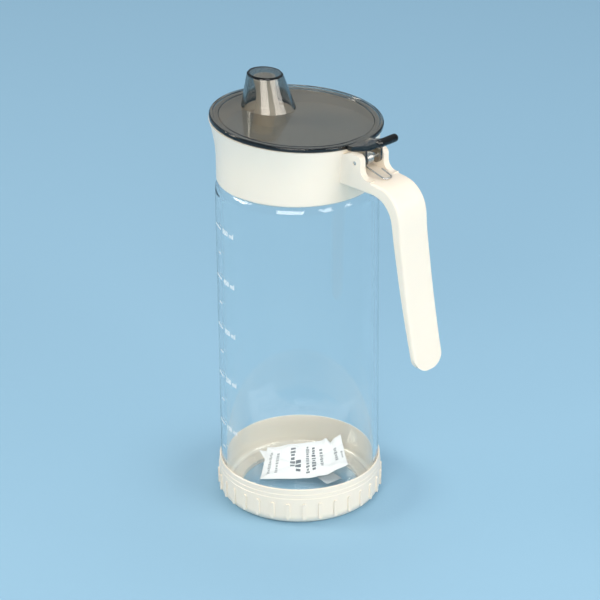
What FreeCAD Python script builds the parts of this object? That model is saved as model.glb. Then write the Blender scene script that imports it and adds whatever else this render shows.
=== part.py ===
import FreeCAD, Part
import math
import os

os.makedirs("parts", exist_ok=True)

# Pouring jug with a sprung lid.  Millimetres, +Z up, origin at the centre of
# the foot, handle toward +X, spout toward -X.
V = FreeCAD.Vector

# --- glass jar -------------------------------------------------------------
JAR_R = 37.4            # outside radius of the straight wall
JAR_WALL = 2.4          # wall, shoulder and neck
JAR_FLOOR = 2.4         # thickness of the bottom
JAR_STRAIGHT = 155.6    # height at which the shoulder begins
SHOULDER_R = 7.0        # outside radius of the shoulder
HEEL_R = 3.6            # rounding between wall and bottom

# --- base ring -------------------------------------------------------------
RING_H = 18.9           # top edge of the ring
RING_FLOOR = 2.0        # flange under the jar
RING_OPEN_R = 28.0      # opening in the flange
RING_WALL = 1.0
RING_FIT = 0.1          # gap between jar and ring
RING_STEP = 0.17        # each of the two fine steps under the top edge
RIB_COUNT = 32
RIB_W = 1.8
RIB_LOW = 3.3
RIB_HIGH = 11.5
RIB_OUT = 0.6
RIB_PHASE = 2.8         # degrees from +X to the first rib

# --- head: collar, plate, spout, ears and handle in one moulding ------------
COLLAR_LIFT = 5.3       # lower edge of the collar above the start of the shoulder
COLLAR_SET = 0.7        # collar stands this much inside the jar's outside
COLLAR_WALL = 2.3
FLARE_START = 9.5       # flare begins this high on the collar
FLARE_OUT = 2.3         # widening of the collar at the mouth
HEAD_H = 29.4           # lower edge of the collar to the top of the lid
FALL_X = 2.5            # degrees the mouth falls toward the handle
FALL_Y = 2.6            # degrees the mouth falls toward the +Y side
PLATE_T = 2.0
PLATE_DOWN = 10.3       # top of the lid down to the plate, which caps the neck
SPOUT_X = 17.4          # spout root, outward from the axis
SPOUT_BORE_WALL = 1.3

HANDLE_W = 18.1
HANDLE_T = 5.3          # thickness at the top of the grip
HANDLE_ARM_T = 5.5      # depth of the arm over the bend
HANDLE_INNER_R = 11.5   # bend of the underside
HANDLE_TIP_T = 2.8      # thickness at the free end
HANDLE_REACH = 26.9     # outward from the hinge pin to the outer face of the bend
HANDLE_DROP = 83.8      # top of the handle down to its free end
HANDLE_SPLAY = 11.3     # the free end stands this much further out
HANDLE_BEND_R = 14.0
HANDLE_END_R = 8.0
HANDLE_EASE = 1.2       # rounding of the long edges
EAR_T = 3.2
EAR_END = 3.6           # pin to the outer end of an ear
EAR_TOP = 3.7           # pin to the top of an ear

# --- hinge -----------------------------------------------------------------
PIN_R = 1.0
PIN_OUT = 5.2           # pin outward from the rim of the lid
PIN_DOWN = 5.9          # pin below the lid's top at the same place
PIN_OVER = 6.85         # pin above the handle's top surface
PIN_SHY = 0.3           # pin ends stand back from the ears' faces
LUG_T = 1.3
LUG_R = 3.2
LUG_SIDE = 0.3          # side play between lug and ear
PIN_PLAY = 0.06         # radial running play in the lugs
WIRE_R = 0.4
COIL_R = 2.3            # mean radius of the spring coils
COIL_TURNS = 4          # whole turns
COIL_AT = -0.9          # middle of the coil along the pin
SPRING_ARM = 2.0        # short arm under the lever
HOOK_BACK = 6.4
COIL_GAP = 0.1          # between turns
SPRING_REACH = 12.2     # pin to the bend
SPRING_OVER = 0.3       # the bend's wire over the handle's nominal top
BEND_HALF = 2.4         # half width of the bend
BEND_R = 1.6

# --- lid -------------------------------------------------------------------
LID_R = JAR_R + 2.0
LID_RIM_H = 2.2
LID_T = 1.5
RIM_BEAD = 1.7          # width of the outer bead
RIM_BAND = 2.4          # width of the lower band inside it
BAND_STEP = 0.45
FIELD_STEP = 0.35
LID_GAP = 0.3
CAP_OFF = 0.6           # centre of the cap's base, outward from the spout's root
CAP_BASE_R = 12.3
CAP_TOP_R = 8.1
CAP_H = 14.7
CAP_LEAN = 1.9
CAP_WALL = 1.3
LEVER_W = 14.0
LEVER_T = 2.2
LEVER_LEN = 17.0        # rim of the lid to the tip
LEVER_RISE = 5.4
LEVER_BEAD_R = 1.9      # rolled bead along the thumb edge

# --- pieces lying in the jar -------------------------------------------------
SACHET_L = 41.0
SACHET_W = 27.0
SACHET_T = 0.9
SACHET_TILT = 11.5      # degrees, far edge raised
SACHET_CURL_R = 26.0
PLAIN_L = 24.0
PLAIN_W = 14.0
TAG_L = 20.0
TAG_W = 9.0
TAG_T = 0.25

# --- places that follow from the sizes ---------------------------------------
COLLAR_Z = JAR_STRAIGHT + COLLAR_LIFT
COLLAR_R = JAR_R - COLLAR_SET
LID_Z = COLLAR_Z + HEAD_H
NECK_R = JAR_R - SHOULDER_R
NECK_TOP = LID_Z - PLATE_DOWN
PLATE_Z = NECK_TOP
JAR_IN = RING_FLOOR + JAR_FLOOR
CAP_X = SPOUT_X + CAP_OFF
TAN_X = math.tan(math.radians(FALL_X))
TAN_Y = math.tan(math.radians(FALL_Y))
PIN_X = LID_R + PIN_OUT
PIN_Z = LID_Z - TAN_X * PIN_X - PIN_DOWN
HALF_W = HANDLE_W / 2.0


def seg(a, b):
    return Part.makeLine(V(*a), V(*b))


def arc(a, m, b):
    return Part.Arc(V(*a), V(*m), V(*b)).toShape()


def face_of(edges):
    return Part.Face(Part.Wire(Part.__sortEdges__(edges)))


def chain(points, y=0.0):
    """Face in the XZ plane; a point with a third value is an arc's middle."""
    edges = []
    n = len(points)
    i = 0
    while i < n:
        a = points[i]
        b = points[(i + 1) % n]
        if len(b) == 3:
            c = points[(i + 2) % n]
            edges.append(arc((a[0], y, a[1]), (b[0], y, b[1]), (c[0], y, c[1])))
            i += 2
        else:
            edges.append(seg((a[0], y, a[1]), (b[0], y, b[1])))
            i += 1
    return Part.Face(Part.Wire(edges))


def turn(points):
    return chain(points).revolve(V(0, 0, 0), V(0, 0, 1), 360)


def slab(points, y0, y1):
    return chain(points, y0).extrude(V(0, y1 - y0, 0))


def mid(cx, cz, r, a0, a1):
    """Middle point of an arc about (cx, cz), angles in degrees."""
    a = math.radians((a0 + a1) / 2.0)
    return (cx + r * math.cos(a), cz + r * math.sin(a), 1)


def lid_place():
    rot = FreeCAD.Rotation(V(0, 1, 0), FALL_X).multiply(
        FreeCAD.Rotation(V(1, 0, 0), -FALL_Y))
    return FreeCAD.Placement(V(0, 0, LID_Z), rot)


def circle_wire(x, z, r, place=None):
    w = Part.Wire(Part.makeCircle(r, V(x, 0, z), V(0, 0, 1)))
    if place is not None:
        w.Placement = place
    return w


def glass_jar():
    ro, ri = JAR_R, JAR_R - JAR_WALL
    zs = JAR_STRAIGHT
    so, si = SHOULDER_R, SHOULDER_R - JAR_WALL
    cx = JAR_R - SHOULDER_R
    h = HEEL_R
    hi = max(h - 0.6, 0.8)
    lip = JAR_WALL / 2.0
    out = [
        (0, RING_FLOOR), (ro - h, RING_FLOOR),
        mid(ro - h, RING_FLOOR + h, h, -90, 0), (ro, RING_FLOOR + h),
        (ro, zs), mid(cx, zs, so, 0, 90), (cx, zs + so),
        (cx, NECK_TOP - lip), mid(cx - lip, NECK_TOP - lip, lip, 0, 180),
        (cx - 2 * lip, NECK_TOP - lip),
        (cx - JAR_WALL, zs + si + JAR_WALL * 0.6),
        (cx - JAR_WALL * 0.4, zs + si), (cx, zs + si),
        mid(cx, zs, si, 90, 0), (ri, zs), (ri, JAR_IN + hi),
        mid(ri - hi, JAR_IN + hi, hi, 0, -90), (ri - hi, JAR_IN), (0, JAR_IN),
    ]
    return turn(out)


def base_ring():
    inner = JAR_R + RING_FIT
    main = inner + RING_WALL
    s = RING_STEP
    foot = 4.1
    z1 = RING_H - 4.9
    z2 = RING_H - 2.8
    c = 0.35
    ring = turn([
        (RING_OPEN_R, 0), (main - foot, 0),
        (main - 0.30 * foot, 0.30 * 5.6, 1), (main, 5.6),
        (main, z1 - s), (main - s, z1), (main - s, z2 - s), (main - 2 * s, z2),
        (main - 2 * s, RING_H - c), (main - 2 * s - c, RING_H),
        (inner + 0.1, RING_H), (inner, RING_H - 0.1),
        (inner, RING_FLOOR + HEEL_R),
        mid(inner - HEEL_R, RING_FLOOR + HEEL_R, HEEL_R, 0, -90),
        (inner - HEEL_R, RING_FLOOR), (RING_OPEN_R, RING_FLOOR),
    ])
    w = RIB_W / 2.0
    low, high = RIB_LOW + w, RIB_HIGH - w
    x = main - 0.5
    rib = Part.Face(Part.Wire([
        seg((x, -w, low), (x, -w, high)), arc((x, -w, high), (x, 0, high + w), (x, w, high)),
        seg((x, w, high), (x, w, low)), arc((x, w, low), (x, 0, low - w), (x, -w, low)),
    ])).extrude(V(0.5 + RIB_OUT, 0, 0))
    ribs = []
    for k in range(RIB_COUNT):
        one = rib.copy()
        one.rotate(V(0, 0, 0), V(0, 0, 1), RIB_PHASE + 360.0 * k / RIB_COUNT)
        ribs.append(one)
    return ring.fuse(ribs).removeSplitter()


def mouth_tool(drop):
    """Everything above a plane that lies `drop` under the lid's top plane."""
    box = Part.makeBox(400, 400, 60, V(-200, -200, -drop))
    box.Placement = lid_place()
    return box


def flare(z):
    """How far the collar has widened at height z."""
    t = max(0.0, (z - COLLAR_Z - FLARE_START) / (HEAD_H - LID_RIM_H - FLARE_START))
    return FLARE_OUT * t * t


def collar():
    r, w = COLLAR_R, COLLAR_WALL
    z0 = COLLAR_Z
    zf = z0 + FLARE_START
    top = LID_Z + TAN_X * LID_R + TAN_Y * LID_R + 2.0
    e = 0.8

    n = 8
    zs = [zf + (top - zf) * k / n for k in range(n + 1)]
    outer = Part.BSplineCurve()
    outer.interpolate([V(r + flare(z), 0, z) for z in zs])
    inner = Part.BSplineCurve()
    inner.interpolate([V(r - w + flare(z), 0, z) for z in reversed(zs)])
    relief = 1.3
    edges = [
        seg((r - relief, 0, z0), (r - e, 0, z0)),
        arc((r - e, 0, z0), (r - e + e * math.sin(math.pi / 4), 0, z0 + e - e * math.cos(math.pi / 4)), (r, 0, z0 + e)),
        seg((r, 0, z0 + e), (r, 0, zf)),
        outer.toShape(),
        seg((r + flare(top), 0, top), (r - w + flare(top), 0, top)),
        inner.toShape(),
        seg((r - w, 0, zf), (r - w, 0, z0 + 1.6)),
        seg((r - w, 0, z0 + 1.6), (r - relief, 0, z0)),
    ]
    return Part.Face(Part.Wire(edges)).revolve(V(0, 0, 0), V(0, 0, 1), 360)


def spout_sections():
    """(x of centre, z, radius) up the spout, root first."""
    z = PLATE_Z
    top = LID_Z + TAN_X * CAP_X + CAP_H - 3.0
    h = top - z
    rows = ((0.0, 0.0, 8.4), (0.24, 0.5, 6.8), (0.50, 1.3, 5.3),
            (0.72, 2.0, 4.7), (0.88, 2.6, 4.8), (1.0, 3.0, 5.0))
    return [(-SPOUT_X - dx, z + h * t, r) for t, dx, r in rows]


def handle():
    """Side profile of the strap between two splines, extruded, edges eased,
    then its free end rounded."""
    y0 = -HALF_W
    xt = PIN_X + HANDLE_REACH          # outer face just under the bend
    zt = PIN_Z - PIN_OVER              # top surface before the bend
    zb = zt - HANDLE_DROP
    root = COLLAR_R - COLLAR_WALL

    def edge(xc, zc, r, rise, low, tip_in):
        """Points of one edge: along the arm, `rise` higher at the root, round
        a bend about (xc, zc), and down the splayed grip."""
        top = zc + r
        pts = [(root, top + 1.3 * rise), (PIN_X, top + 1.2 * rise),
               ((PIN_X + xc) / 2.0, top + 0.6 * rise)]
        for d in (88, 66, 44, 22):
            q = math.radians(d)
            pts.append((xc + r * math.cos(q), zc + r * math.sin(q)))
        x_end = xt + HANDLE_SPLAY - tip_in
        x_top, z_top = xc + r + 0.6, zc - low
        for k in range(6):
            t = k / 5.0
            bow = 0.075 * HANDLE_SPLAY * 4 * t * (1 - t)
            pts.append((x_top + (x_end - x_top) * t - bow, z_top + (zb - z_top) * t))
        c = Part.BSplineCurve()
        c.interpolate([V(x, y0, z) for x, z in pts])
        return c.toShape(), pts

    ri = HANDLE_INNER_R
    outer, po = edge(xt - HANDLE_BEND_R, zt - HANDLE_BEND_R, HANDLE_BEND_R, 1.0,
                     0.06 * HANDLE_DROP, 0.0)
    inner, pi = edge(xt - HANDLE_T - ri, zt - HANDLE_ARM_T - ri, ri, 0.0,
                     0.03 * HANDLE_DROP, HANDLE_TIP_T)
    strap = Part.Face(Part.Wire([
        outer, seg((po[-1][0], y0, zb), (pi[-1][0], y0, zb)), inner,
        seg((root, y0, pi[0][1]), (root, y0, po[0][1]))])).extrude(V(0, HANDLE_W, 0))
    long_edges = [e for e in strap.Edges
                  if e.Length > HANDLE_DROP and abs(abs(e.CenterOfMass.y) - HALF_W) < 1e-3]
    strap = strap.makeFillet(HANDLE_EASE, long_edges)
    r = HANDLE_END_R
    m = r * (1 - math.sqrt(0.5))
    keep = Part.Face(Part.Wire([
        seg((0, y0, 400), (0, y0, zb + r)), arc((0, y0, zb + r), (0, y0 + m, zb + m), (0, y0 + r, zb)),
        seg((0, y0 + r, zb), (0, -y0 - r, zb)), arc((0, -y0 - r, zb), (0, -y0 - m, zb + m), (0, -y0, zb + r)),
        seg((0, -y0, zb + r), (0, -y0, 400)), seg((0, -y0, 400), (0, y0, 400)),
    ])).extrude(V(400, 0, 0))
    return strap.common(keep)


def ear(y0, y1):
    end = PIN_X + EAR_END
    top = PIN_Z + EAR_TOP - TAN_Y * (y0 + y1) / 2.0    # falls with the lid
    c = 2.6
    zt = PIN_Z - PIN_OVER
    low = zt - HANDLE_ARM_T / 2.0      # inside the strap, whose sides it continues
    root = COLLAR_R - COLLAR_WALL / 2.0
    return slab([
        (root, low), (end + 6.0, low), (end + 6.0, zt + 0.7),
        (end + 1.1, zt + 2.0, 1), (end, zt + 5.0),
        (end, top - c), mid(end - c, top - c, c, 0, 90), (end - c, top),
        (PIN_X - 3.0, top), (LID_R - 1.4, PIN_Z + 2.4), (root, PIN_Z + 2.4),
    ], y0, y1)


def head():
    parts = [handle(), ear(-HALF_W, -HALF_W + EAR_T), ear(HALF_W - EAR_T, HALF_W)]
    body = collar().cut(mouth_tool(LID_RIM_H + LID_GAP))
    core = Part.makeCylinder(COLLAR_R - COLLAR_WALL + 0.2, 60, V(0, 0, COLLAR_Z))
    parts = [p.cut(core) for p in parts]
    plate = Part.makeCylinder(COLLAR_R - COLLAR_WALL + flare(PLATE_Z) + 0.7, PLATE_T, V(0, 0, PLATE_Z))
    rows = spout_sections()
    horn = Part.makeLoft([circle_wire(x, z, r) for x, z, r in rows], True, False)
    bore_rows = [(x, z, r - SPOUT_BORE_WALL) for x, z, r in rows]
    x0, z0, r0 = bore_rows[0]
    x1, z1, r1 = bore_rows[-1]
    bore = Part.makeLoft(
        [circle_wire(x0 + 0.3, z0 - 1.0, r0)]
        + [circle_wire(x, z, r) for x, z, r in bore_rows[1:-1]]
        + [circle_wire(x1 - 0.1, z1 + 0.5, r1 + 0.05)], True, False)
    body = body.fuse([plate, horn] + parts).cut(bore)
    pin_hole = Part.makeCylinder(PIN_R, 4 * HALF_W, V(PIN_X, -2 * HALF_W, PIN_Z), V(0, 1, 0))
    return body.cut(pin_hole).removeSplitter()


def hinge_pin():
    return Part.makeCylinder(PIN_R, HANDLE_W - 2 * PIN_SHY,
                             V(PIN_X, -HALF_W + PIN_SHY, PIN_Z), V(0, 1, 0))


def eased(points, radii):
    """Straight runs through points, joined by tangent arcs."""
    edges, here = [], points[0]
    for before, corner, after, r in zip(points, points[1:], points[2:], radii):
        u = (before - corner).normalize()
        w = (after - corner).normalize()
        half = u.getAngle(w) / 2.0
        cut = r / math.tan(half)
        start, stop = corner + u * cut, corner + w * cut
        heart = corner + (u + w).normalize() * (r / math.sin(half))
        edges.append(Part.makeLine(here, start))
        edges.append(Part.Arc(start, heart + (corner - heart).normalize() * r, stop).toShape())
        here = stop
    return edges + [Part.makeLine(here, points[-1])]


def lid_spring():
    """Torsion spring of one wire: a short arm under the lever, a close coil on
    the pin, a leg down to the handle, and a hook back along it."""
    pitch = 2 * WIRE_R + COIL_GAP
    x_end = PIN_X + SPRING_REACH
    z_end = PIN_Z - PIN_OVER + SPRING_OVER + WIRE_R
    reach = math.hypot(SPRING_REACH, PIN_Z - z_end)
    a_leg = math.atan2(z_end - PIN_Z, SPRING_REACH) + math.asin(COIL_R / reach)
    leave = a_leg - math.pi / 2.0      # where the leg leaves the coil
    turns = COIL_TURNS + ((leave - math.pi / 2.0) / (2 * math.pi)) % 1.0
    y_leg = COIL_AT - pitch * turns / 2.0

    def on_coil(back):
        """Point `back` turns before the wire leaves the coil."""
        a = leave - 2 * math.pi * back
        return V(PIN_X + COIL_R * math.cos(a), y_leg + pitch * back, PIN_Z + COIL_R * math.sin(a))

    count = int(math.ceil(2 * turns))
    step = turns / count
    coil = [Part.Arc(on_coil(k * step), on_coil((k - 0.5) * step), on_coil((k - 1) * step)).toShape()
            for k in range(count, 0, -1)]
    first, last = coil[0], coil[-1]
    before = first.tangentAt(first.FirstParameter)
    ahead = last.tangentAt(last.LastParameter)
    start = on_coil(turns) - before * SPRING_ARM
    knee = on_coil(0) + ahead * (2 * COIL_R)
    near, far = V(x_end, -BEND_HALF, z_end), V(x_end, BEND_HALF, z_end)
    slope = (knee.z - z_end) / (x_end - knee.x)
    tail = far + V(-HOOK_BACK, 0, HOOK_BACK * slope)
    legs = eased([on_coil(0), knee, near, far, tail], (2 * COIL_R, BEND_R, BEND_R))
    ring = Part.Wire(Part.makeCircle(WIRE_R, start, before))
    spine = Part.Wire([Part.makeLine(start, on_coil(turns))] + coil + legs)
    return spine.makePipeShell([ring], True, False)


def lever():
    """Thumb lever: side profile between two splines, rounded in plan."""
    x0 = LID_R - 4.0
    z0 = LID_Z - TAN_X * LID_R
    n = LEVER_LEN
    line = [(x0, z0 - 1.1), (LID_R, z0 - 1.0), (LID_R + 0.25 * n, z0 - 0.45),
            (LID_R + 0.48 * n, z0 + 0.9), (LID_R + 0.74 * n, z0 + 2.6),
            (LID_R + 0.89 * n, z0 + 4.2), (LID_R + 0.955 * n, z0 + LEVER_RISE - 0.6)]
    up, down = [], []
    t = LEVER_T / 2.0
    for k, (x, z) in enumerate(line):
        a = line[max(k - 1, 0)]
        b = line[min(k + 1, len(line) - 1)]
        dx, dz = b[0] - a[0], b[1] - a[1]
        m = math.hypot(dx, dz)
        up.append(V(x - dz / m * t, 0, z + dx / m * t))
        down.append(V(x + dz / m * t, 0, z - dx / m * t))
    top = Part.BSplineCurve()
    top.interpolate(up)
    low = Part.BSplineCurve()
    low.interpolate(list(reversed(down)))
    ex, ez = line[-1][0] - line[-2][0], line[-1][1] - line[-2][1]
    m = math.hypot(ex, ez)
    tip = V(line[-1][0] + ex / m * t, 0, line[-1][1] + ez / m * t)
    f = Part.Face(Part.Wire([
        top.toShape(), Part.Arc(up[-1], tip, down[-1]).toShape(), low.toShape(),
        Part.makeLine(down[0], up[0])]))
    w = LEVER_W / 2.0
    f.translate(V(0, -w - 2, 0))
    bar = f.extrude(V(0, 2 * w + 4, 0))
    xe = LID_R + LEVER_LEN + 1.0
    c = 3.2
    plan = Part.Face(Part.Wire([
        seg((x0 - 1, -w - 0.6, 0), (LID_R + 3, -w, 0)), seg((LID_R + 3, -w, 0), (xe - c, -w + 0.5, 0)),
        arc((xe - c, -w + 0.5, 0), (xe - 0.9, -w + 1.4, 0), (xe, -w + 0.5 + c, 0)),
        seg((xe, -w + 0.5 + c, 0), (xe, w - 0.5 - c, 0)),
        arc((xe, w - 0.5 - c, 0), (xe - 0.9, w - 1.4, 0), (xe - c, w - 0.5, 0)),
        seg((xe - c, w - 0.5, 0), (LID_R + 3, w, 0)), seg((LID_R + 3, w, 0), (x0 - 1, w + 0.6, 0)),
        seg((x0 - 1, w + 0.6, 0), (x0 - 1, -w - 0.6, 0)),
    ])).extrude(V(0, 0, 400))
    inside = Part.makeCylinder(LID_R + LID_GAP, 40, V(0, 0, -LID_RIM_H - 40))
    inside.Placement = lid_place()     # the seat of the rim stays flat
    rb = LEVER_BEAD_R
    reach = w - 0.5 - rb
    at = V(tip.x - rb * 0.6, 0, tip.z - rb * 0.2)
    bead = Part.makeCylinder(rb, 2 * reach, at - V(0, reach, 0), V(0, 1, 0)).fuse(
        [Part.makeSphere(rb, at + V(0, s * reach, 0)) for s in (-1, 1)])
    return bar.common(plan).cut(inside).fuse(bead)


def lug(y0, y1):
    r = LUG_R
    z = LID_Z - TAN_X * LID_R - 1.2
    return slab([
        (PIN_X - r, PIN_Z), mid(PIN_X, PIN_Z, r, 180, 360), (PIN_X + r, PIN_Z),
        (PIN_X + r, z + 0.6), (PIN_X - r, z),
    ], y0, y1)


def lid():
    r, h = LID_R, LID_RIM_H
    e = 0.7
    a = r - RIM_BEAD
    b = a - RIM_BAND
    zb = -BAND_STEP
    zf = -BAND_STEP - FIELD_STEP
    s = 0.3
    under = zf - LID_T
    disc = turn([
        (0, zf), (b - s, zf), (b, zb), (a - s, zb), (a, -0.1), (a + 0.3, 0),
        (r - e, 0), mid(r - e, -e, e, 90, 0), (r, -e), (r, -h + 0.4), (r - 0.4, -h),
        (b, -h), (b - 1.0, under), (0, under),
    ])
    place = lid_place()
    disc.Placement = place
    # cap: oblique frustum, hollow, standing on the field
    inv = place.Rotation.inverted()
    base = inv.multVec(V(-CAP_X, 0, LID_Z + TAN_X * CAP_X) - place.Base)
    shift = inv.multVec(V(-CAP_LEAN, 0, CAP_H))
    zt = shift.z + base.z

    def ring(k, r, dz=0.0):
        """Circle at height fraction k of the cap, in the lid's own frame."""
        c = V(base.x + shift.x * k, base.y + shift.y * k, base.z + (zt - base.z) * k + dz)
        w = Part.Wire(Part.makeCircle(r, c, V(0, 0, 1)))
        w.Placement = place
        return w

    def r_at(k):
        return CAP_BASE_R + (CAP_TOP_R - CAP_BASE_R) * k

    kb = (zf - 0.4 - base.z) / (zt - base.z)
    e1 = 0.045
    outer = Part.makeLoft([ring(kb, r_at(kb)), ring(1 - e1, r_at(1 - e1))], True, True)
    crown = Part.makeLoft([ring(1 - e1, r_at(1 - e1)), ring(1.0, r_at(1.0) - 0.55)], True, True)
    ku = (under - 1.0 - base.z) / (zt - base.z)
    ki = 1.0 - 1.4 / CAP_H
    hollow = Part.makeLoft([ring(ku, r_at(ku) - CAP_WALL), ring(ki, r_at(ki) - CAP_WALL)], True, True)
    y1 = HALF_W - EAR_T - LUG_SIDE
    y0 = y1 - LUG_T
    whole = disc.fuse([outer, crown, lever(), lug(-y1, -y0), lug(y0, y1)]).cut(hollow)
    bore = Part.makeCylinder(PIN_R + PIN_PLAY, 4 * HALF_W, V(PIN_X, -2 * HALF_W, PIN_Z), V(0, 1, 0))
    return whole.cut(bore).removeSplitter()


def on_floor(shape, u, v, z, yaw, tilt):
    """Put a sheet drawn at the origin on the jar's floor.

    u runs between +X and +Y, v between -X and +Y; yaw turns the sheet about Z
    and tilt lifts its far edge."""
    q = math.sqrt(0.5)
    place = FreeCAD.Placement(
        V((u - v) * q, (u + v) * q, z),
        FreeCAD.Rotation(V(0, 0, 1), 45.0 + yaw).multiply(FreeCAD.Rotation(V(1, 0, 0), tilt)))
    shape.Placement = place.multiply(shape.Placement)
    return shape


def sachet_printed():
    """A flat sheet whose right-hand end curls up along an arc."""
    t = SACHET_T
    flat = SACHET_L * 0.62
    rest = SACHET_L - flat
    R = SACHET_CURL_R
    a = rest / R
    edges = [
        seg((0, 0, 0), (flat, 0, 0)),
        arc((flat, 0, 0), (flat + R * math.sin(a / 2), 0, R - R * math.cos(a / 2)),
            (flat + R * math.sin(a), 0, R - R * math.cos(a))),
        seg((flat + R * math.sin(a), 0, R - R * math.cos(a)),
            (flat + (R - t) * math.sin(a), 0, R - (R - t) * math.cos(a))),
        arc((flat + (R - t) * math.sin(a), 0, R - (R - t) * math.cos(a)),
            (flat + (R - t) * math.sin(a / 2), 0, R - (R - t) * math.cos(a / 2)), (flat, 0, t)),
        seg((flat, 0, t), (0, 0, t)), seg((0, 0, t), (0, 0, 0)),
    ]
    sheet = Part.Face(Part.Wire(edges)).extrude(V(0, SACHET_W, 0))
    return on_floor(sheet, -18.6, -2.4, JAR_IN + 0.05, -2.0, SACHET_TILT)


def sachet_plain():
    """A sheet under the printed one; only its far left corner looks out."""
    sheet = Part.makeBox(PLAIN_L, PLAIN_W, 0.5, V(0, -PLAIN_W, 0))
    sheet.rotate(V(0, 0, 0), V(0, 0, 1), 9)
    sheet.translate(V(-1.2, 20.4, -0.62))
    return on_floor(sheet, -18.6, -2.4, JAR_IN + 0.05, -2.0, SACHET_TILT)


def film_tag():
    sheet = Part.makeBox(TAG_L, TAG_W, TAG_T)
    return on_floor(sheet, 20.1, -1.4, JAR_IN + 0.02, 113.0, 0.0)


NODES = (
    ("glass_jar", glass_jar), ("base_ring", base_ring), ("pourer_head", head),
    ("hinge_pin", hinge_pin), ("lid_spring", lid_spring), ("lid", lid),
    ("sachet_printed", sachet_printed), ("sachet_plain", sachet_plain), ("film_tag", film_tag),
)

for node, make in NODES:
    shape = make()
    if shape.ShapeType != "Solid" and len(shape.Solids) == 1:
        shape = shape.Solids[0]
    shape.exportStep("parts/%s.step" % node)
    box = shape.BoundBox
    print("%-15s solids %d valid %s faces %d vol %.0f  x %.1f..%.1f y %.1f..%.1f z %.1f..%.1f" % (
        node, len(shape.Solids), shape.isValid(), len(shape.Faces), shape.Volume,
        box.XMin, box.XMax, box.YMin, box.YMax, box.ZMin, box.ZMax))
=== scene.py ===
# %% [markdown]
# # A glass oil dispenser
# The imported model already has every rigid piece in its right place: the jar,
# the ring under it, the pouring head with its handle, the pin, the spring and
# the smoke lid. This notebook gives them their finishes, lays the paper
# pieces in the jar, prints the scale on the glass and lights the whole.
# Lengths are in metres, +Z is up, and the handle points along +X.

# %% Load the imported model
import math
import bmesh
import bpy
import numpy as np
from mathutils import Matrix, Vector


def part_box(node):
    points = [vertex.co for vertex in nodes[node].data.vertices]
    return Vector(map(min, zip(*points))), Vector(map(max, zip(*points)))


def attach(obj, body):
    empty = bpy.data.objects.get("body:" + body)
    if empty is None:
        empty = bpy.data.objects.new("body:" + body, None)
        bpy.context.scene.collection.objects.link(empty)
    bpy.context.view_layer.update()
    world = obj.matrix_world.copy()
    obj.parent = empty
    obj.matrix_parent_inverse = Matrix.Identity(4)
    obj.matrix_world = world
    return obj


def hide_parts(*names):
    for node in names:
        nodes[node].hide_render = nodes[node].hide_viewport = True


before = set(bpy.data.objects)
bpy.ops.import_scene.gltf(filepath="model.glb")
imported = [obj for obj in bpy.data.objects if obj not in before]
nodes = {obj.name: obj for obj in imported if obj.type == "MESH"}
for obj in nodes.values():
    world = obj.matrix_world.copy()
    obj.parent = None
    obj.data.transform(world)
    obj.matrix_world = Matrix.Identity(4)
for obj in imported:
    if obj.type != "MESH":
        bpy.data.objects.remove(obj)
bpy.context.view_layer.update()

MM = 0.001

# %% [markdown]
# ## Helpers for node trees
# A material here is a tree of nodes. These few functions start one, add a
# node with its values, and link outputs to inputs, so that what follows reads
# as a list of what each finish is made of.

# %% Node helpers
def start_material(name):
    """An empty node material: (material, node tree, output node)."""
    material = bpy.data.materials.new(name)
    material.use_nodes = True
    tree = material.node_tree
    tree.nodes.clear()
    output = tree.nodes.new("ShaderNodeOutputMaterial")
    return material, tree, output


def set_values(node, **values):
    """Sets a node's properties, or its input sockets where the name is one,
    written with underscores for spaces."""
    for key, value in values.items():
        if hasattr(node, key):
            setattr(node, key, value)
        else:
            node.inputs[key.replace("_", " ")].default_value = value
    return node


def put(tree, kind, **values):
    """Adds a node and sets its values."""
    return set_values(tree.nodes.new(kind), **values)


def connect(tree, *pairs):
    """Links each pair of an output and an input."""
    for plug, socket in pairs:
        tree.links.new(plug, socket)


def sums(tree, operation, first, second=None):
    """A Math node. Each of its two inputs is a number or a plug."""
    node = put(tree, "ShaderNodeMath", operation=operation)
    for socket, value in zip(node.inputs, (first, second)):
        if value is None:
            continue
        if isinstance(value, (int, float)):
            socket.default_value = value
        else:
            tree.links.new(value, socket)
    return node.outputs[0]


# %% [markdown]
# ## Where the camera stands
# A product shot is taken from well back with a long lens, so the jar's sides
# stay almost parallel. The camera looks down a little, across the corner
# between the handle and the near side. Its matrix is put together from three
# directions, right, up and back, which is plainer than turning it by angles.

# %% Camera
AZIMUTH = math.radians(45.0)      # from the near side, -Y, towards +X
ELEVATION = math.radians(25.6)
DISTANCE = 1.211                  # to the point that it aims at
AIM_HEIGHT = 0.0984
AIM_SIDE = 0.0008                 # aims this far to the right of the jar's axis
ROLL = -0.0095                    # radians about the line of sight
LENS, SENSOR = 156.6, 36.0        # millimetres
CLIP = (0.05, 30.0)

back = Vector((math.sin(AZIMUTH) * math.cos(ELEVATION),
               -math.cos(AZIMUTH) * math.cos(ELEVATION), math.sin(ELEVATION)))
right = Vector((math.cos(AZIMUTH), math.sin(AZIMUTH), 0.0))
camera_data = bpy.data.cameras.new("product_camera")
camera_data.lens = LENS
camera_data.sensor_width = SENSOR
camera_data.clip_start, camera_data.clip_end = CLIP
camera = bpy.data.objects.new("product_camera", camera_data)
bpy.context.scene.collection.objects.link(camera)
upright = Matrix((right, back.cross(right), back)).transposed().to_4x4()
aim = Vector((0.0, 0.0, AIM_HEIGHT)) + right * AIM_SIDE
camera.matrix_world = (Matrix.Translation(aim + back * DISTANCE) @ upright
                       @ Matrix.Rotation(ROLL, 4, "Z"))
bpy.context.scene.camera = camera
print("camera at", [round(v, 3) for v in camera.location])

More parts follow.
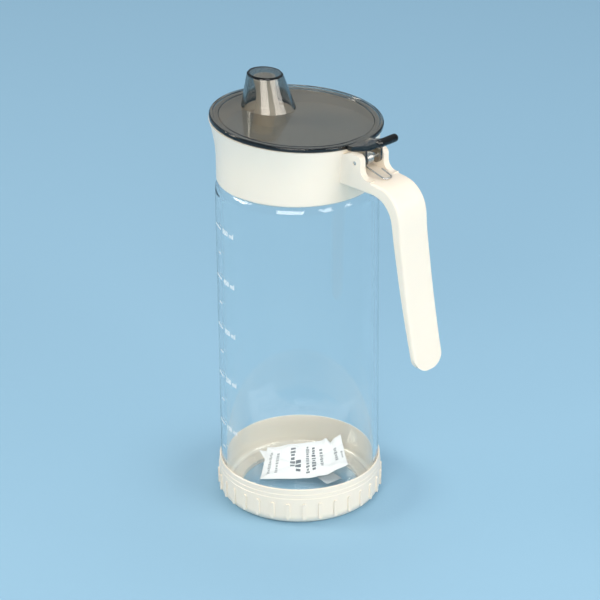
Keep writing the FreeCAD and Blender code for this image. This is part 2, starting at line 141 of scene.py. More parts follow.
# %% [markdown]
# ## Studio floor, room and lamps
# The floor is a pale blue sheet, large enough that its edge never shows, and
# far away it fades into a plain backdrop. Clear glass has no colour of its
# own: what is read as its edge is the floor and the backdrop bent into view.
# The room that glossy surfaces mirror is pale above and darker towards the
# ground. One soft box stands beside the camera and one on the handle's side,
# for the bright strips on lid and cap. A third lights the left side, and a
# dim one hangs behind and above.

# %% Floor and backdrop
FLOOR_COLOR = (0.30, 0.50, 0.66, 1.0)
BACKDROP_COLOR = (0.36, 0.58, 0.74, 1.0)
FLOOR_HALF = 6.0
FADE_START, FADE_END = 0.8, 2.6   # metres from the jar

floor_mesh = bpy.data.meshes.new("studio_floor")
floor_mesh.from_pydata([(x * FLOOR_HALF, y * FLOOR_HALF, 0)
                        for x, y in ((-1, -1), (1, -1), (1, 1), (-1, 1))],
                       [], [(0, 1, 2, 3)])
studio_floor = bpy.data.objects.new("studio_floor", floor_mesh)
bpy.context.scene.collection.objects.link(studio_floor)

floor_material, floor_tree, floor_out = start_material("studio_paper")
floor_shader = put(floor_tree, "ShaderNodeBsdfPrincipled", Base_Color=FLOOR_COLOR,
                   Roughness=0.9, Specular_IOR_Level=0.1)
fibre = put(floor_tree, "ShaderNodeTexNoise", Scale=900.0, Detail=2.0)
fibre_bump = put(floor_tree, "ShaderNodeBump", Strength=0.15, Distance=0.0004)
floor_where = put(floor_tree, "ShaderNodeTexCoord")
# The fade is only for rays that come from the camera, straight or through
# glass. All others meet the sheet as it is.
far = put(floor_tree, "ShaderNodeVectorMath", operation="LENGTH")
fade = put(floor_tree, "ShaderNodeMapRange", interpolation_type="SMOOTHSTEP",
           From_Min=FADE_START, From_Max=FADE_END)
far_colour = put(floor_tree, "ShaderNodeEmission", Color=BACKDROP_COLOR, Strength=1.0)
floor_path = put(floor_tree, "ShaderNodeLightPath")
floor_mix = put(floor_tree, "ShaderNodeMixShader")
straight_rays = sums(floor_tree, "MAXIMUM", floor_path.outputs["Is Camera Ray"],
                     floor_path.outputs["Is Transmission Ray"])
faded = sums(floor_tree, "MULTIPLY", straight_rays, fade.outputs["Result"])
connect(floor_tree,
        (floor_where.outputs["Object"], fibre.inputs["Vector"]),
        (fibre.outputs["Fac"], fibre_bump.inputs["Height"]),
        (fibre_bump.outputs["Normal"], floor_shader.inputs["Normal"]),
        (floor_where.outputs["Object"], far.inputs[0]),
        (far.outputs["Value"], fade.inputs["Value"]),
        (faded, floor_mix.inputs[0]),
        (floor_shader.outputs["BSDF"], floor_mix.inputs[1]),
        (far_colour.outputs[0], floor_mix.inputs[2]),
        (floor_mix.outputs[0], floor_out.inputs["Surface"]))
floor_mesh.materials.append(floor_material)

# %% The room's own light
ROOM_STRENGTH = 0.45
ROOM_LOW = (0.42, (0.34, 0.47, 0.58, 1))    # place on the ramp, colour
ROOM_HIGH = (0.80, (0.74, 0.86, 0.97, 1))

world = bpy.data.worlds.new("studio_room")
bpy.context.scene.world = world
world.use_nodes = True
room = world.node_tree
room.nodes.clear()
room_out = room.nodes.new("ShaderNodeOutputWorld")
room_light = put(room, "ShaderNodeBackground", Strength=ROOM_STRENGTH)
direction = put(room, "ShaderNodeTexCoord")
height = put(room, "ShaderNodeSeparateXYZ")
lift = put(room, "ShaderNodeMapRange", From_Min=-1.0)
shade = put(room, "ShaderNodeValToRGB")
for stop, (position, color) in zip(shade.color_ramp.elements, (ROOM_LOW, ROOM_HIGH)):
    stop.position, stop.color = position, color
# The camera sees a plain pale backdrop in place of the room, also through the
# glass.
backdrop = put(room, "ShaderNodeBackground", Color=BACKDROP_COLOR, Strength=1.0)
seen = put(room, "ShaderNodeLightPath")
through = sums(room, "MAXIMUM", seen.outputs["Is Camera Ray"],
               seen.outputs["Is Transmission Ray"])
pick = put(room, "ShaderNodeMixShader")
connect(room,
        (direction.outputs["Generated"], height.inputs[0]),
        (height.outputs["Z"], lift.inputs["Value"]),
        (lift.outputs["Result"], shade.inputs["Fac"]),
        (shade.outputs["Color"], room_light.inputs["Color"]),
        (through, pick.inputs[0]),
        (room_light.outputs["Background"], pick.inputs[1]),
        (backdrop.outputs["Background"], pick.inputs[2]),
        (pick.outputs[0], room_out.inputs["Surface"]))

# %% Soft boxes
BOX_AIM = Vector((0, 0, 0.1))


def soft_box(name, azimuth, elevation, distance, width, tall, watts, warmth=0.0):
    """A rectangular lamp that faces the jar. Its azimuth is counted as the
    camera's is, in degrees, and warmth 0 is white."""
    lamp = bpy.data.lights.new(name, "AREA")
    lamp.shape = "RECTANGLE"
    lamp.size, lamp.size_y = width, tall
    lamp.energy = watts
    lamp.color = (1.0, 1.0 - 0.04 * warmth, 1.0 - 0.10 * warmth)
    thing = bpy.data.objects.new(name, lamp)
    bpy.context.scene.collection.objects.link(thing)
    a, e = math.radians(azimuth), math.radians(elevation)
    out = Vector((math.sin(a) * math.cos(e), -math.cos(a) * math.cos(e), math.sin(e)))
    thing.location = BOX_AIM + out * distance
    thing.rotation_mode = "QUATERNION"
    thing.rotation_quaternion = (-out).to_track_quat("-Z", "Y")


soft_box("box_front", 35, 27, 1.5, 0.95, 0.75, 12.5, 1.4)
soft_box("box_handle_side", 103, 27, 1.5, 1.18, 0.75, 13.0, 1.2)
soft_box("box_left", -50, 35, 2.0, 0.8, 0.8, 16.0, 2.2)
soft_box("box_above", 200, 75, 1.8, 1.2, 1.2, 8.0)

# %% [markdown]
# ## Effects that several finishes share
# Moulded plastic is never quite even: its colour drifts a little, its gloss
# varies, and a fine skin left by the mould breaks up its reflections. A node
# group holds that once, and each plastic sets its own amounts. A second group
# lays faint dust on what faces up. Groups give out colours, values and
# normals only. The shader stays in the material.

# %% Node groups
def start_group(name, inputs, outputs):
    """A shader node group with named sockets: (group, its input node, its
    output node)."""
    group = bpy.data.node_groups.new(name, "ShaderNodeTree")
    for label, kind, value in inputs:
        socket = group.interface.new_socket(label, in_out="INPUT", socket_type=kind)
        if value is not None:
            socket.default_value = value
    for label, kind in outputs:
        group.interface.new_socket(label, in_out="OUTPUT", socket_type=kind)
    return group, group.nodes.new("NodeGroupInput"), group.nodes.new("NodeGroupOutput")


NUMBER, COLOUR, ARROW = "NodeSocketFloat", "NodeSocketColor", "NodeSocketVector"
MIX_A, MIX_B = 6, 7    # places of a Mix node's two colour inputs
MIXED = 2              # and of its colour output


def moulded_skin():
    """Colour drift, gloss drift and a fine mould grain.
    colour = colour x (1 + drift x (broad noise - 0.5))
    roughness = roughness + unevenness x (middle noise - 0.5)
    normal = bump of fine noise, as high as Grain."""
    group, here, there = start_group(
        "moulded_skin",
        [("Color", COLOUR, (0.8, 0.8, 0.8, 1)), ("Drift", NUMBER, 0.06),
         ("Roughness", NUMBER, 0.3), ("Unevenness", NUMBER, 0.08),
         ("Grain", NUMBER, 0.1), ("Grain Size", NUMBER, 1400.0)],
        [("Color", COLOUR), ("Roughness", NUMBER), ("Normal", ARROW)])
    link = group.links.new
    where = put(group, "ShaderNodeTexCoord")
    broad = put(group, "ShaderNodeTexNoise", Scale=22.0, Detail=3.0)
    middle = put(group, "ShaderNodeTexNoise", Scale=120.0, Detail=4.0)
    fine = put(group, "ShaderNodeTexNoise", Detail=2.0)
    for noise in (broad, middle, fine):
        link(where.outputs["Object"], noise.inputs["Vector"])
    link(here.outputs["Grain Size"], fine.inputs["Scale"])
    swing = sums(group, "MULTIPLY", sums(group, "SUBTRACT", broad.outputs["Fac"], 0.5),
                 here.outputs["Drift"])
    bright = put(group, "ShaderNodeVectorMath", operation="SCALE")
    link(here.outputs["Color"], bright.inputs[0])
    link(sums(group, "ADD", swing, 1.0), bright.inputs["Scale"])
    uneven = sums(group, "MULTIPLY", sums(group, "SUBTRACT", middle.outputs["Fac"], 0.5),
                  here.outputs["Unevenness"])
    bump = put(group, "ShaderNodeBump", Distance=0.0002)
    link(here.outputs["Grain"], bump.inputs["Strength"])
    link(fine.outputs["Fac"], bump.inputs["Height"])
    link(bright.outputs["Vector"], there.inputs["Color"])
    link(sums(group, "ADD", here.outputs["Roughness"], uneven), there.inputs["Roughness"])
    link(bump.outputs["Normal"], there.inputs["Normal"])
    return group


def shelf_dust():
    """Faint dust: a mask of fine noise x how far the surface faces up."""
    group, here, there = start_group(
        "shelf_dust",
        [("Color", COLOUR, (0.8, 0.8, 0.8, 1)), ("Roughness", NUMBER, 0.3),
         ("Amount", NUMBER, 0.15)],
        [("Color", COLOUR), ("Roughness", NUMBER)])
    link = group.links.new
    where = put(group, "ShaderNodeTexCoord")
    specks = put(group, "ShaderNodeTexNoise", Scale=700.0, Detail=3.0, Roughness=0.7)
    link(where.outputs["Object"], specks.inputs["Vector"])
    facing = put(group, "ShaderNodeSeparateXYZ")
    link(put(group, "ShaderNodeNewGeometry").outputs["Normal"], facing.inputs[0])
    up = sums(group, "MAXIMUM", facing.outputs["Z"], 0.0)
    grains = put(group, "ShaderNodeMapRange", From_Min=0.52, From_Max=0.72)
    link(specks.outputs["Fac"], grains.inputs["Value"])
    mask = sums(group, "MULTIPLY", sums(group, "MULTIPLY", up, grains.outputs["Result"]),
                here.outputs["Amount"])
    mix = put(group, "ShaderNodeMix", data_type="RGBA")
    mix.inputs[MIX_B].default_value = (0.62, 0.60, 0.57, 1)
    link(mask, mix.inputs[0])
    link(here.outputs["Color"], mix.inputs[MIX_A])
    link(mix.outputs[MIXED], there.inputs["Color"])
    link(sums(group, "ADD", here.outputs["Roughness"], sums(group, "MULTIPLY", mask, 0.5)),
         there.inputs["Roughness"])
    return group


SKIN, DUST = moulded_skin(), shelf_dust()
print("node groups:", SKIN.name, DUST.name)


def use_group(tree, group, **values):
    """Places a group and sets its inputs."""
    return set_values(put(tree, "ShaderNodeGroup", node_tree=group), **values)


# %% [markdown]
# ## Ivory plastic
# The head, the handle and the ring are one glossy ivory plastic, perhaps ABS.
# It is nearly white and warm, with a soft highlight, and light sinks in a
# little at thin edges. The skin group feeds its colour, gloss and grain, and
# the dust group greys the flat tops faintly.

# %% Ivory
def plastic(name, color, dust, **skin_values):
    """A Principled material fed by the skin and dust groups."""
    material, tree, output = start_material(name)
    shader = put(tree, "ShaderNodeBsdfPrincipled")
    skin = use_group(tree, SKIN, Color=color, **skin_values)
    cover = use_group(tree, DUST, Amount=dust)
    connect(tree,
            (skin.outputs["Color"], cover.inputs["Color"]),
            (skin.outputs["Roughness"], cover.inputs["Roughness"]),
            (cover.outputs["Color"], shader.inputs["Base Color"]),
            (cover.outputs["Roughness"], shader.inputs["Roughness"]),
            (skin.outputs["Normal"], shader.inputs["Normal"]),
            (shader.outputs["BSDF"], output.inputs["Surface"]))
    return material, tree, output, shader


ivory, _, _, ivory_shader = plastic(
    "ivory_plastic", (0.89, 0.80, 0.68, 1), dust=0.10,
    Roughness=0.30, Drift=0.05, Unevenness=0.10, Grain=0.10)
set_values(ivory_shader, IOR=1.52, Subsurface_Weight=0.08,
           Subsurface_Radius=(0.004, 0.003, 0.002))
for name in ("pourer_head", "base_ring"):
    nodes[name].data.materials[0] = ivory


# %% [markdown]
# ## Smoke plastic and clear glass
# Both let light through. Rendered plainly, glass stops the lamps' straight
# light and leaves what lies behind it too dark, so shadow rays and rays that
# bounce off dull surfaces meet a thin tinted film in its place. What the eye
# sees is still the real, bending glass. The smoke plastic also absorbs light
# with depth: the flat of the lid stays paler, while the rim and the lever,
# where light has a longer way through, turn dark.

# %% See-through finishes
def ease_shadows(tree, output, shader, tint):
    """Shadow and bounce rays pass a film of `tint`; all others meet the shader."""
    film = put(tree, "ShaderNodeBsdfTransparent", Color=tint)
    path = put(tree, "ShaderNodeLightPath")
    soft = sums(tree, "MAXIMUM", path.outputs["Is Shadow Ray"],
                path.outputs["Is Diffuse Ray"])
    choose = put(tree, "ShaderNodeMixShader")
    connect(tree,
            (soft, choose.inputs[0]),
            (shader.outputs["BSDF"], choose.inputs[1]),
            (film.outputs["BSDF"], choose.inputs[2]),
            (choose.outputs[0], output.inputs["Surface"]))


smoke, smoke_tree, smoke_out, smoke_shader = plastic(
    "smoke_plastic", (0.79, 0.79, 0.77, 1), dust=0.05,
    Roughness=0.035, Drift=0.06, Unevenness=0.02, Grain=0.012)
set_values(smoke_shader, Transmission_Weight=1.0, IOR=1.57)
ease_shadows(smoke_tree, smoke_out, smoke_shader, (0.80, 0.80, 0.79, 1))
smoke_depth = put(smoke_tree, "ShaderNodeVolumeAbsorption", Color=(0.09, 0.08, 0.05, 1),
                  Density=275.0)
connect(smoke_tree, (smoke_depth.outputs["Volume"], smoke_out.inputs["Volume"]))
nodes["lid"].data.materials[0] = smoke

# Drawn glass has faint long waves, mostly upright, hence the noise that is
# stretched along Z.
glass, glass_tree, glass_out = start_material("jar_glass")
glass_shader = put(glass_tree, "ShaderNodeBsdfPrincipled",
                   Base_Color=(0.975, 0.985, 0.985, 1), Roughness=0.0, IOR=1.50,
                   Transmission_Weight=1.0)
glass_where = put(glass_tree, "ShaderNodeTexCoord")
glass_stretch = put(glass_tree, "ShaderNodeMapping", Scale=(1.0, 1.0, 0.35))
draw_lines = put(glass_tree, "ShaderNodeTexNoise", Scale=38.0, Detail=2.0)
glass_wave = put(glass_tree, "ShaderNodeBump", Strength=0.10, Distance=0.0006)
connect(glass_tree,
        (glass_where.outputs["Object"], glass_stretch.inputs["Vector"]),
        (glass_stretch.outputs["Vector"], draw_lines.inputs["Vector"]),
        (draw_lines.outputs["Fac"], glass_wave.inputs["Height"]),
        (glass_wave.outputs["Normal"], glass_shader.inputs["Normal"]))
ease_shadows(glass_tree, glass_out, glass_shader, (0.97, 0.98, 0.98, 1))

# %% [markdown]
# ## Spring steel
# The wire and the pin are bright drawn steel. Drawing leaves fine scratches,
# so a very fine noise changes the roughness from spot to spot and raises a
# slight bump.

# %% Steel
steel, steel_tree, steel_out = start_material("spring_steel")
steel_shader = put(steel_tree, "ShaderNodeBsdfPrincipled",
                   Base_Color=(0.60, 0.59, 0.57, 1), Metallic=1.0, Roughness=0.25)
steel_where = put(steel_tree, "ShaderNodeTexCoord")
steel_noise = put(steel_tree, "ShaderNodeTexNoise", Scale=2600.0, Detail=3.0)
steel_range = put(steel_tree, "ShaderNodeMapRange", To_Min=0.16, To_Max=0.38)
steel_bump = put(steel_tree, "ShaderNodeBump", Strength=0.2, Distance=0.00003)
connect(steel_tree,
        (steel_where.outputs["Object"], steel_noise.inputs["Vector"]),
        (steel_noise.outputs["Fac"], steel_range.inputs["Value"]),
        (steel_range.outputs["Result"], steel_shader.inputs["Roughness"]),
        (steel_noise.outputs["Fac"], steel_bump.inputs["Height"]),
        (steel_bump.outputs["Normal"], steel_shader.inputs["Normal"]),
        (steel_shader.outputs["BSDF"], steel_out.inputs["Surface"]))
for name in ("hinge_pin", "lid_spring"):
    nodes[name].data.materials[0] = steel

# %% [markdown]
# ## Meshes from arrays
# The paper pieces and the print are surfaces worked out with numpy. Each is a
# grid of points, one array for each coordinate. A sheet of some thickness is
# two such grids, its face and its underside, with a strip sewn along the rim.

# %% Grid helpers
def grid_quads(rows, columns, first=0):
    """Corner numbers of the quads of a rows x columns grid of points."""
    r, c = np.meshgrid(np.arange(rows - 1), np.arange(columns - 1), indexing="ij")
    corner = first + r * columns + c
    return np.stack([corner, corner + 1, corner + columns + 1, corner + columns],
                    axis=-1).reshape(-1, 4)


def rim_numbers(rows, columns):
    """Point numbers once round the rim of a rows x columns grid."""
    number = np.arange(rows * columns).reshape(rows, columns)
    return np.concatenate([number[0, :-1], number[:-1, -1],
                           number[-1, :0:-1], number[:0:-1, 0]])


def sewn_sheet(upper, under):
    """Closed sheet from two point grids of one shape, (rows, columns, 3).
    Returns all points and all quads, faces outwards."""
    rows, columns, _ = upper.shape
    count = rows * columns
    rim = rim_numbers(rows, columns)
    ahead = np.roll(rim, -1)
    strip = np.stack([rim, rim + count, ahead + count, ahead], axis=-1)
    top = grid_quads(rows, columns)
    low = grid_quads(rows, columns, count)[:, ::-1]
    points = np.concatenate([upper.reshape(-1, 3), under.reshape(-1, 3)])
    return points, np.concatenate([top, low, strip])


def make_piece(name, points, faces, material, body, smooth=True):
    """A mesh object at the origin, dressed, riding on its body."""
    mesh = bpy.data.meshes.new(name)
    mesh.from_pydata(points.tolist(), [], [tuple(face) for face in faces])
    mesh.validate()
    mesh.polygons.foreach_set("use_smooth", [smooth] * len(mesh.polygons))
    mesh.materials.append(material)
    piece = bpy.data.objects.new(name, mesh)
    bpy.context.scene.collection.objects.link(piece)
    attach(piece, body)
    print(name, len(points), "points", len(faces), "faces")
    return piece


# %% [markdown]
# ## The glass of the jar
# What is seen through glass bends at every flat of a coarse mesh, so the jar
# is drawn as one finely turned surface with the sizes of its solid. Its
# profile goes out along the underside, up the outer wall, over the shoulder
# and the lip, and back down the inside to the middle of the floor. Straight
# runs have a short step at each end, so that the shading turns only in the
# bends.

# %% Jar
def straight(r0, z0, r1, z1, steps):
    """Points from one place to another, with a short step at each end."""
    length = math.hypot(r1 - r0, z1 - z0)
    tip = min(0.2, 0.1 * length) / length
    share = np.concatenate([[0, tip], np.linspace(0, 1, steps + 1)[1:-1], [1 - tip, 1]])
    return np.stack([r0 + (r1 - r0) * share, z0 + (z1 - z0) * share], axis=-1)


def bend(r, z, radius, start, stop, steps=10):
    """Points on an arc about (r, z), from one angle in degrees to another."""
    a = np.radians(np.linspace(start, stop, steps + 1))
    return np.stack([r + radius * np.cos(a), z + radius * np.sin(a)], axis=-1)


def jar_profile(wall=2.4, heel=3.6, shoulder=7.0, straight_top=155.6,
                heel_less=0.6, core=0.5):
    """(radius, height) in millimetres once round the glass. The inner heel is
    rounded by `heel_less` less, and the flats end at the radius `core`."""
    low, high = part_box("glass_jar")
    r, z0, z1 = high.y / MM, low.z / MM, high.z / MM
    floor, neck, lip = z0 + wall, r - shoulder, wall / 2
    inner_heel = heel - heel_less
    runs = [straight(core, z0, r - heel, z0, 6), bend(r - heel, z0 + heel, heel, -90, 0),
            straight(r, z0 + heel, r, straight_top, 24),
            bend(neck, straight_top, shoulder, 0, 90, 16),
            straight(neck, straight_top + shoulder, neck, z1 - lip, 6),
            bend(neck - lip, z1 - lip, lip, 0, 180),
            straight(neck - wall, z1 - lip, neck - wall, straight_top + shoulder, 6),
            bend(neck, straight_top, shoulder - wall, 90, 0, 16)[1:],
            straight(r - wall, straight_top, r - wall, floor + inner_heel, 24),
            bend(r - wall - inner_heel, floor + inner_heel, inner_heel, 0, -90),
            straight(r - wall - inner_heel, floor, core, floor, 6)]
    points = np.concatenate(runs)
    step = np.linalg.norm(np.diff(points, axis=0), axis=1)
    return points[np.concatenate([[True], step > 1e-6])]


def turned(profile, around=288):
    """Surface of revolution about Z, closed by a fan at each end of the
    profile. Returns points in metres and faces."""
    a = np.linspace(0, 2 * math.pi, around, endpoint=False)
    rings = np.stack([profile[:, :1] * np.cos(a), profile[:, :1] * np.sin(a),
                      profile[:, 1:] * np.ones(around)], axis=-1)
    first = np.arange(len(profile) - 1)[:, None] * around
    here, ahead = np.arange(around), (np.arange(around) + 1) % around
    quads = np.stack([first + here, first + ahead, first + ahead + around,
                      first + here + around], axis=-1).reshape(-1, 4)
    ends = np.array([[0, 0, profile[0, 1]], [0, 0, profile[-1, 1]]])
    middle, last = len(profile) * around, (len(profile) - 1) * around
    fans = [(middle, int(n), int(m)) for m, n in zip(here, ahead)]
    fans += [(middle + 1, last + int(m), last + int(n)) for m, n in zip(here, ahead)]
    return np.concatenate([rings.reshape(-1, 3), ends]) * MM, quads.tolist() + fans


points, faces = turned(jar_profile())
jar = make_piece("jar_turned_glass", points, faces, glass, "jug")
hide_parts("glass_jar")

# %% [markdown]
# ## The printed sachet
# A small paper pouch lies on the jar's floor, under the spout's side of the
# jar. One end curls up against the glass. Its shape is a sheet whose height
# is a gentle slope, a curl that grows towards one end, a few sharp creases
# and the bulge of the grains inside, which is nothing at the pressed seams.

# %% Paper pouches
random = np.random.default_rng(12)
FLOOR_OF_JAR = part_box("sachet_printed")[0].z
LOWEST = 4.5           # millimetres; paper lies on the glass and reaches no lower
NEAR_EDGE = -2.0       # the printed sachet's near edge, beyond the jar's axis
WIDTH = 25.0           # its near edge to its far one
SLOPE = 3.3            # its far edge lies this much higher
CURL = 7.2             # rise of its curled end
ACROSS = np.array([1.0, 1.0, 0.0]) / math.sqrt(2.0)
AWAY = np.array([-1.0, 1.0, 0.0]) / math.sqrt(2.0)
UPWARD = np.array([0.0, 0.0, 1.0])


def place(across, away, height):
    """Points from distances across the view, away from it, and up."""
    return (across[..., None] * ACROSS + away[..., None] * AWAY
            + height[..., None] * UPWARD)


def slope(share):
    """Height gained at a share of the way from the near edge to the far one."""
    return SLOPE * share ** 1.3


def creases(s, t, count, depth, reach):
    """Sum of `count` straight folds at random places: each a ridge whose
    height falls off in a line to nothing within `reach` of the fold."""
    total = np.zeros_like(s)
    for angle, shift, weight in zip(random.uniform(0, math.pi, count),
                                    random.uniform(0.15, 0.85, count),
                                    random.uniform(-1, 1, count)):
        across_fold = (s - 0.5) * math.cos(angle) + (t - 0.5) * math.sin(angle)
        off = np.abs(across_fold + 0.5 - shift)
        total += weight * np.clip(1.0 - off / reach, 0.0, 1.0)
    return depth * total


def seam_fade(s, t, edge_s, edge_t):
    """1 inside the pouch, 0 on its pressed seams, eased between."""
    inside = np.minimum(np.minimum(s, 1 - s) / edge_s, np.minimum(t, 1 - t) / edge_t)
    inside = np.clip(inside, 0.0, 1.0)
    return inside * inside * (3 - 2 * inside)


def printed_pouch(rows=150, columns=240):
    """The larger sachet. s runs along it, t across it, both 0 to 1.
    across = from end to end, each end a little slanted;
    away = the near edge, plus t times the width;
    height = slope with t, curl with a power of s, a pillow, a knob and a notch
    on the far edge, creases, bulge and the fine ribs of the pressed seams."""
    t, s = np.meshgrid(np.linspace(0, 1, rows), np.linspace(0, 1, columns), indexing="ij")
    left, end = -19.2 + 3.2 * t, 23.0 - 2.7 * t
    across = left + (end - left) * s
    away = NEAR_EDGE + WIDTH * t + 0.5 * np.sin(2.2 * math.pi * s) * (1 - t)
    curl = CURL * np.clip((s - 0.45) / 0.55, 0, 1) ** 1.7
    pillow = 2.5 * t * np.sin(math.pi * s) ** 2
    height = 4.9 + slope(t) + curl + pillow
    notch = np.exp(-((s - 0.86) / 0.035) ** 2) * t ** 3
    knob = np.exp(-((s - 0.79) / 0.035) ** 2) * t ** 4
    height += 1.0 * knob - 1.9 * notch
    height += creases(s, t, 9, 0.55, 0.10)
    bulge = seam_fade(s, t, 0.12, 0.16)
    lumps = 0.5 + 0.5 * np.sin(26 * s + 3 * t) * np.sin(17 * t + 2 * s)
    press = 0.05 * np.sin(s * 2 * math.pi * 60) * (1 - bulge)
    top = height + bulge * (0.75 + 0.25 * lumps) + press
    low = np.maximum(height - 0.16 - 0.35 * bulge, LOWEST)
    return (place(across * MM, away * MM, top * MM),
            place(across * MM, away * MM, low * MM), s, t)


def bars(s, t, rows_of_print):
    """Ink from 0 to 1 where a printed bar lies. Each row is a place along s,
    its half width, its start and end along t, how many short blocks it is cut
    in and how dark it is. Every block ends at its own height."""
    ink = np.zeros_like(s)
    for middle, half, start, stop, blocks, dark in rows_of_print:
        run = (t - start) / (stop - start)
        number = np.clip((run * blocks).astype(int), 0, blocks - 1)
        tall = random.uniform(0.55, 1.0, blocks)[number]
        solid = np.abs(((run * blocks) % 1.0) - 0.5) < 0.33
        inside = (np.abs(s - middle) < half * tall) & (run > 0) & (run < 1) & solid
        ink = np.maximum(ink, dark * inside)
    return ink.astype(np.float32)


PRINT_ROWS = [(0.08, 0.020, 0.12, 0.80, 12, 0.70), (0.17, 0.020, 0.14, 0.74, 10, 0.70),
              (0.36, 0.034, 0.30, 0.84, 6, 0.90), (0.43, 0.036, 0.14, 0.50, 3, 0.95),
              (0.545, 0.022, 0.10, 0.86, 12, 0.85), (0.62, 0.026, 0.14, 0.82, 10, 0.95),
              (0.716, 0.022, 0.20, 0.74, 8, 0.80), (0.893, 0.022, 0.26, 0.70, 6, 0.80),
              (0.966, 0.014, 0.30, 0.52, 3, 0.70)]


def paper(name, color, ink_color):
    """Coated paper with print: its colour mixes by the mesh's own `ink`."""
    material, tree, output = start_material(name)
    shader = put(tree, "ShaderNodeBsdfPrincipled")
    skin = use_group(tree, SKIN, Color=color, Roughness=0.55, Drift=0.05,
                     Unevenness=0.12, Grain=0.35, Grain_Size=900.0)
    ink = put(tree, "ShaderNodeAttribute", attribute_name="ink")
    mix = put(tree, "ShaderNodeMix", data_type="RGBA")
    mix.inputs[MIX_B].default_value = ink_color
    connect(tree,
            (ink.outputs["Fac"], mix.inputs[0]),
            (skin.outputs["Color"], mix.inputs[MIX_A]),
            (mix.outputs[MIXED], shader.inputs["Base Color"]),
            (skin.outputs["Roughness"], shader.inputs["Roughness"]),
            (skin.outputs["Normal"], shader.inputs["Normal"]),
            (shader.outputs["BSDF"], output.inputs["Surface"]))
    return material


printed_paper = paper("sachet_paper", (0.92, 0.92, 0.92, 1), (0.10, 0.11, 0.13, 1))
upper, under, along, over = printed_pouch()
points, faces = sewn_sheet(upper, under)
printed = make_piece("sachet_printed_pouch", points, faces, printed_paper, "jug")
ink_values = np.concatenate([bars(along, over, PRINT_ROWS).ravel(),
                             np.zeros(along.size, np.float32)])
ink_layer = printed.data.attributes.new("ink", "FLOAT", "POINT")
ink_layer.data.foreach_set("value", ink_values)
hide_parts("sachet_printed")

# %% [markdown]
# ## The plain sachet and the film
# Another pouch, all white, lies under the first and shows one corner. A slip
# of thin clear film lies flat beside them. Both use the same sewn sheet. The
# film's finish, like the ink's further on, is the skin group led straight
# into the shader.

# %% Plain sachet
def plain_pouch(rows=70, columns=110):
    """The smaller sachet lies under the first and looks out at one corner.
    height = the first one's slope at the same place, less a little, raised at
    the open corner; then small creases and a low bulge."""
    t, s = np.meshgrid(np.linspace(0, 1, rows), np.linspace(0, 1, columns), indexing="ij")
    across = -20.2 + 23.6 * s + 6.0 * (1 - t)
    away = 20.9 - 13.4 * (1 - t) + 0.6 * s
    height = 4.75 + slope((away - NEAR_EDGE) / WIDTH) + 0.75 * t * np.exp(-s / 0.12)
    height += creases(s, t, 5, 0.06, 0.14)
    bulge = seam_fade(s, t, 0.12, 0.18)
    top = np.maximum(height - 0.25 + 0.1 * bulge, LOWEST + 0.12)
    low = np.maximum(height - 0.37, LOWEST)
    return (place(across * MM, away * MM, top * MM),
            place(across * MM, away * MM, low * MM))


PLAIN_WHITE = (0.94, 0.94, 0.93, 1)
plain_paper = paper("plain_paper", PLAIN_WHITE, PLAIN_WHITE)
points, faces = sewn_sheet(*plain_pouch())
plain = make_piece("sachet_plain_pouch", points, faces, plain_paper, "jug")
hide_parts("sachet_plain")


# %% Film slip
def film_slip(rows=30, columns=50):
    """A four-cornered slip. Each point is the corners' weighted mean, and
    its far end lifts by a slow wave."""
    t, s = np.meshgrid(np.linspace(0, 1, rows), np.linspace(0, 1, columns), indexing="ij")
    corners = np.array([(5.5, 4.0), (12.8, -6.6), (20.1, -1.4), (13.0, 9.0)])
    weights = ((1 - s) * (1 - t), s * (1 - t), s * t, (1 - s) * t)
    across = sum(w * c[0] for w, c in zip(weights, corners))
    away = sum(w * c[1] for w, c in zip(weights, corners))
    height = FLOOR_OF_JAR / MM + 0.05 + 0.10 * (1 + np.sin(5 * s + 2 * t)) * s
    return (place(across * MM, away * MM, (height + 0.08) * MM),
            place(across * MM, away * MM, height * MM))


def skinned(name, color, shader_values, **skin_values):
    """A Principled material fed by the skin group alone."""
    material, tree, output = start_material(name)
    shader = put(tree, "ShaderNodeBsdfPrincipled", **shader_values)
    skin = use_group(tree, SKIN, Color=color, **skin_values)
    connect(tree,
            (skin.outputs["Color"], shader.inputs["Base Color"]),
            (skin.outputs["Roughness"], shader.inputs["Roughness"]),
            (skin.outputs["Normal"], shader.inputs["Normal"]),
            (shader.outputs["BSDF"], output.inputs["Surface"]))
    return material


film = skinned("clear_film", (0.80, 0.85, 0.88, 1), {"Alpha": 0.55, "IOR": 1.45},
               Roughness=0.18, Unevenness=0.15, Grain=0.3, Grain_Size=500.0)
points, faces = sewn_sheet(*film_slip())
slip = make_piece("film_slip", points, faces, film, "jug")
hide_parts("film_tag")

# %% [markdown]
# ## The printed scale
# White ink is printed on the outside of the glass: a long mark at every
# hundred millilitres from 150 on, with its number, and a short one half way
# between. A mark is a thin slab wrapped on the cylinder, so its points come
# from an angle and a height. Numbers are text turned into a mesh, and then
# each point is wrapped the same way: the distance along the line of text
# becomes an angle.

# %% Marks on the glass
GLASS_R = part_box("glass_jar")[1].y
INK_LIFT = 0.03 * MM
INK_THICK = 0.05 * MM
FIRST_MARK = 28.2 * MM
MARK_STEP = 12.53 * MM / 50.0      # height of one millilitre
FIRST_ML, LAST_ML, STEP_ML = 100, 550, 50
LONG_MARK = (235.0, 246.5, 0.60 * MM)    # degrees round the jar, then its height
SHORT_MARK = (241.0, 246.0, 0.55 * MM)
NUMBER_AT = 250.0                        # degrees, where a number begins
NUMBER_SIZE = 3.4 * MM


def wrap(angle, height, radius):
    """Points on a cylinder about Z from angle, height and radius."""
    return np.stack([radius * np.cos(angle), radius * np.sin(angle), height], axis=-1)


def height_of(ml):
    """Height of the mark for so many millilitres."""
    return FIRST_MARK + (ml - FIRST_ML) * MARK_STEP


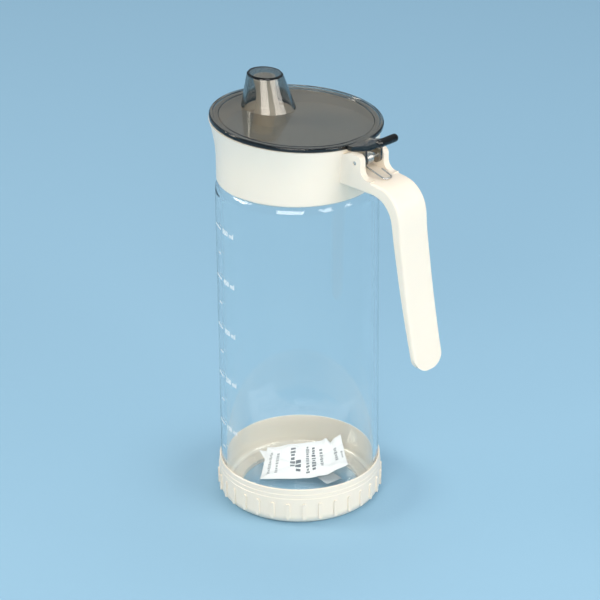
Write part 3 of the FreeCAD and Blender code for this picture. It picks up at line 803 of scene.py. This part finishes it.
def has_number(ml):
    """150, 250 and so on have the long mark and the number."""
    return ml % 100 == 50


def mark(height, from_degrees, to_degrees, thick):
    """One printed mark: a curved slab, its long way round the glass."""
    z, a = np.meshgrid([height - thick / 2, height + thick / 2],
                       np.radians(np.linspace(from_degrees, to_degrees, 9)),
                       indexing="ij")
    inner = GLASS_R + INK_LIFT
    return sewn_sheet(wrap(a, z, inner + INK_THICK), wrap(a, z, inner))


def join(parts):
    """One (points, faces) from several, with the corner numbers shifted."""
    points, faces, count = [], [], 0
    for some_points, some_faces in parts:
        points.append(some_points)
        faces += [[int(corner) + count for corner in face] for face in some_faces]
        count += len(some_points)
    return np.concatenate(points), faces


ink_white = skinned("scale_ink", (0.97, 0.97, 0.97, 1), {}, Roughness=0.5, Grain=0.3,
                    Grain_Size=3000.0)
marked = range(FIRST_ML, LAST_ML + 1, STEP_ML)
points, faces = join(mark(height_of(ml), *(LONG_MARK if has_number(ml) else SHORT_MARK))
                     for ml in marked)
make_piece("scale_marks", points, faces, ink_white, "jug", smooth=False)


# %% Numbers on the glass
def scale_number(ml):
    """The text of one number, wrapped on the glass.
    angle = start angle + distance along the line / radius."""
    curve = bpy.data.curves.new("number", "FONT")
    curve.body = "%d ml" % ml
    curve.size = NUMBER_SIZE
    curve.resolution_u = 3
    curve.offset = 0.05 * MM
    curve.extrude = INK_THICK / 2
    curve.align_y = "CENTER"
    holder = bpy.data.objects.new("number", curve)
    bpy.context.scene.collection.objects.link(holder)
    mesh = bpy.data.meshes.new_from_object(holder)
    welded = bmesh.new()
    welded.from_mesh(mesh)
    bmesh.ops.remove_doubles(welded, verts=welded.verts, dist=0.001 * MM)
    welded.to_mesh(mesh)
    welded.free()
    flat = np.array([tuple(vertex.co) for vertex in mesh.vertices])
    faces = [tuple(polygon.vertices) for polygon in mesh.polygons]
    bpy.data.objects.remove(holder)
    bpy.data.curves.remove(curve)
    bpy.data.meshes.remove(mesh)
    points = wrap(math.radians(NUMBER_AT) + flat[:, 0] / GLASS_R,
                  height_of(ml) + flat[:, 1],
                  GLASS_R + INK_LIFT + INK_THICK / 2 + flat[:, 2])
    return points, faces


points, faces = join(scale_number(ml) for ml in marked if has_number(ml))
make_piece("scale_numbers", points, faces, ink_white, "jug", smooth=False)

# %% [markdown]
# ## Light that looks as it is written
# The Standard view shows a colour as its material says.

# %% Finish
bpy.context.scene.view_settings.view_transform = "Standard"
